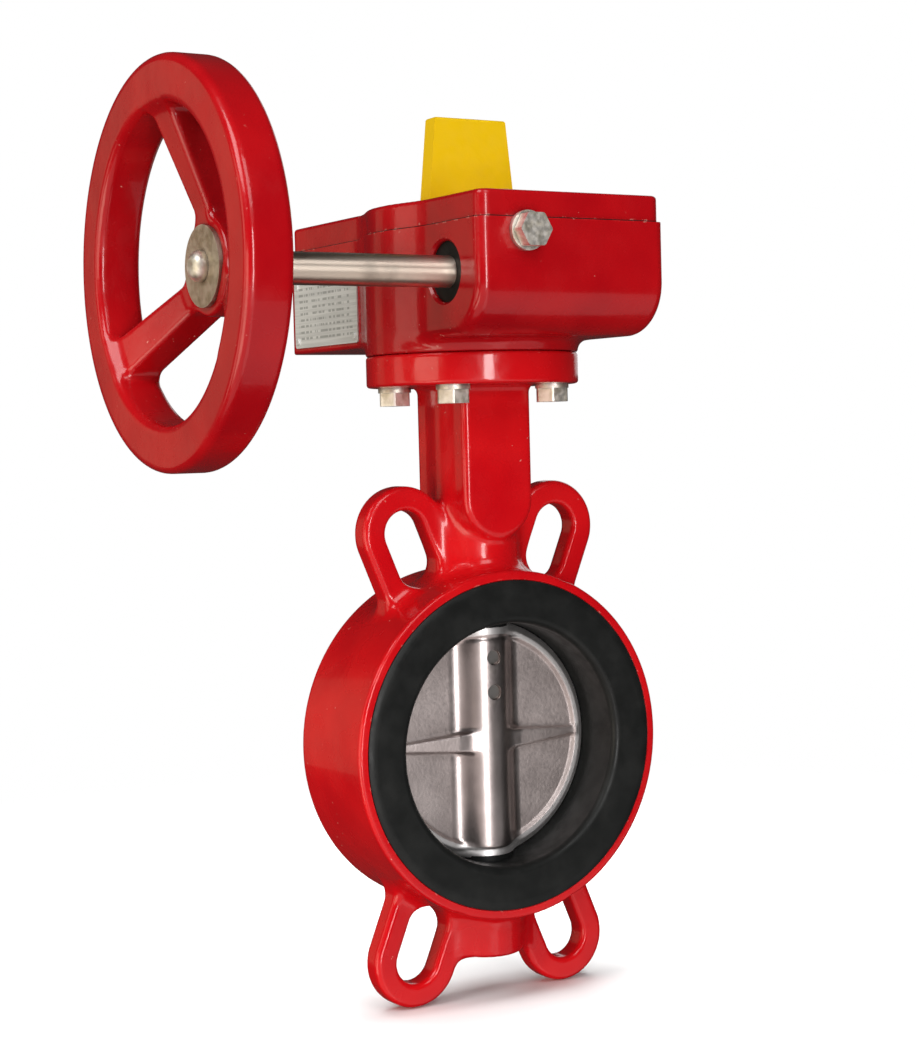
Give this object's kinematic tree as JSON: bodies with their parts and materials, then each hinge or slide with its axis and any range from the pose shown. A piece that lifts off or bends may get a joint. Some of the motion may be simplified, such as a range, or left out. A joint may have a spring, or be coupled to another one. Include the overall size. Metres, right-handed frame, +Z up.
{
  "type": "butterfly valve",
  "caption": "Wafer butterfly valve with a rubber-lined ring body, slotted bolt ears, a tall neck and a worm-gear operator with handwheel, position flag and switches.",
  "frame": {"origin": "centre of the flow bore, on the stem axis, midway between the two sealing faces", "axes": "+Z up the stem towards the operator; Y is the pipe axis; the handwheel is at -X"},
  "size_m": [0.2389, 0.2409, 0.3879],
  "materials": {
    "red_enamel": "glossy stoved red enamel on cast iron",
    "wheel_enamel": "glossy red enamel on cast iron",
    "black_rubber": "matt black rubber",
    "stainless": "cast stainless with a machined edge",
    "shaft_steel": "bright turned steel",
    "gear_iron": "machined iron, greased",
    "bronze": "turned bronze",
    "plated_steel": "zinc plated",
    "yellow_plastic": "moulded yellow plastic",
    "white_plastic": "moulded off-white plastic",
    "black_plastic": "moulded black plastic",
    "nickel_brass": "nickel plated",
    "label_aluminium": "satin label stock"
  },
  "bodies": {
    "valve_frame": {"bracket_screws": "plated_steel", "cover_gasket": "black_rubber", "cover_screws": "plated_steel", "drive_hub_o_ring": "black_rubber", "flange_bolts": "plated_steel", "flange_spring_washers": "plated_steel", "gearbox_cover": "red_enamel", "gearbox_housing": "red_enamel", "gland_body": "nickel_brass", "gland_nut": "nickel_brass", "gland_seal": "black_rubber", "label_plate": "label_aluminium", "label_rivets": "label_aluminium", "lower_bush": "bronze", "middle_bush": "bronze", "seat_liner": "black_rubber", "shaft_bushes": "bronze", "shaft_end_plug": "red_enamel", "shaft_seal": "black_rubber", "stem_o_rings": "black_rubber", "stem_wiper": "black_rubber", "stop_screws": "plated_steel", "stop_washers": "plated_steel", "switch_bracket": "plated_steel", "switch_cases": "black_plastic", "switch_rods": "plated_steel", "terminal_block": "white_plastic", "terminal_screws": "nickel_brass", "upper_bush": "bronze", "valve_body": "red_enamel"},
    "closure": {"disc": "stainless", "stem": "stainless", "taper_pins": "stainless", "stem_clip": "plated_steel", "worm_wheel": "gear_iron", "indicator_spindle": "plated_steel", "spindle_screws": "plated_steel", "indicator_flag": "yellow_plastic", "flag_screw": "plated_steel", "switch_cam": "white_plastic"},
    "drive": {"worm_shaft": "shaft_steel", "handwheel": "wheel_enamel", "wheel_key": "plated_steel", "wheel_washer": "plated_steel", "wheel_screw": "plated_steel"},
    "closed_plunger": {"closed_switch_plunger": "black_plastic"},
    "open_plunger": {"open_switch_plunger": "black_plastic"}
  },
  "joints": [
    {"name": "stem_turn", "type": "hinge", "parent": "valve_frame", "child": "closure", "pos_m": [0, 0, 0], "axis": [0, 0, 1], "range_deg": [0, 90]},
    {"name": "handwheel_turn", "type": "hinge", "parent": "valve_frame", "child": "drive", "pos_m": [0, -0.045, 0.1986], "axis": [1, 0, 0], "range_deg": [-2700, 0]},
    {"name": "closed_switch_press", "type": "slide", "parent": "valve_frame", "child": "closed_plunger", "axis": [0, 1, 0], "range_m": [0, 0.0015], "stiffness_N_per_m": 300},
    {"name": "open_switch_press", "type": "slide", "parent": "valve_frame", "child": "open_plunger", "axis": [0, 1, 0], "range_m": [0, 0.0015], "stiffness_N_per_m": 300}
  ],
  "couplings": [
    {"joint": "handwheel_turn", "follows": "stem_turn", "ratio": -30}
  ]
}
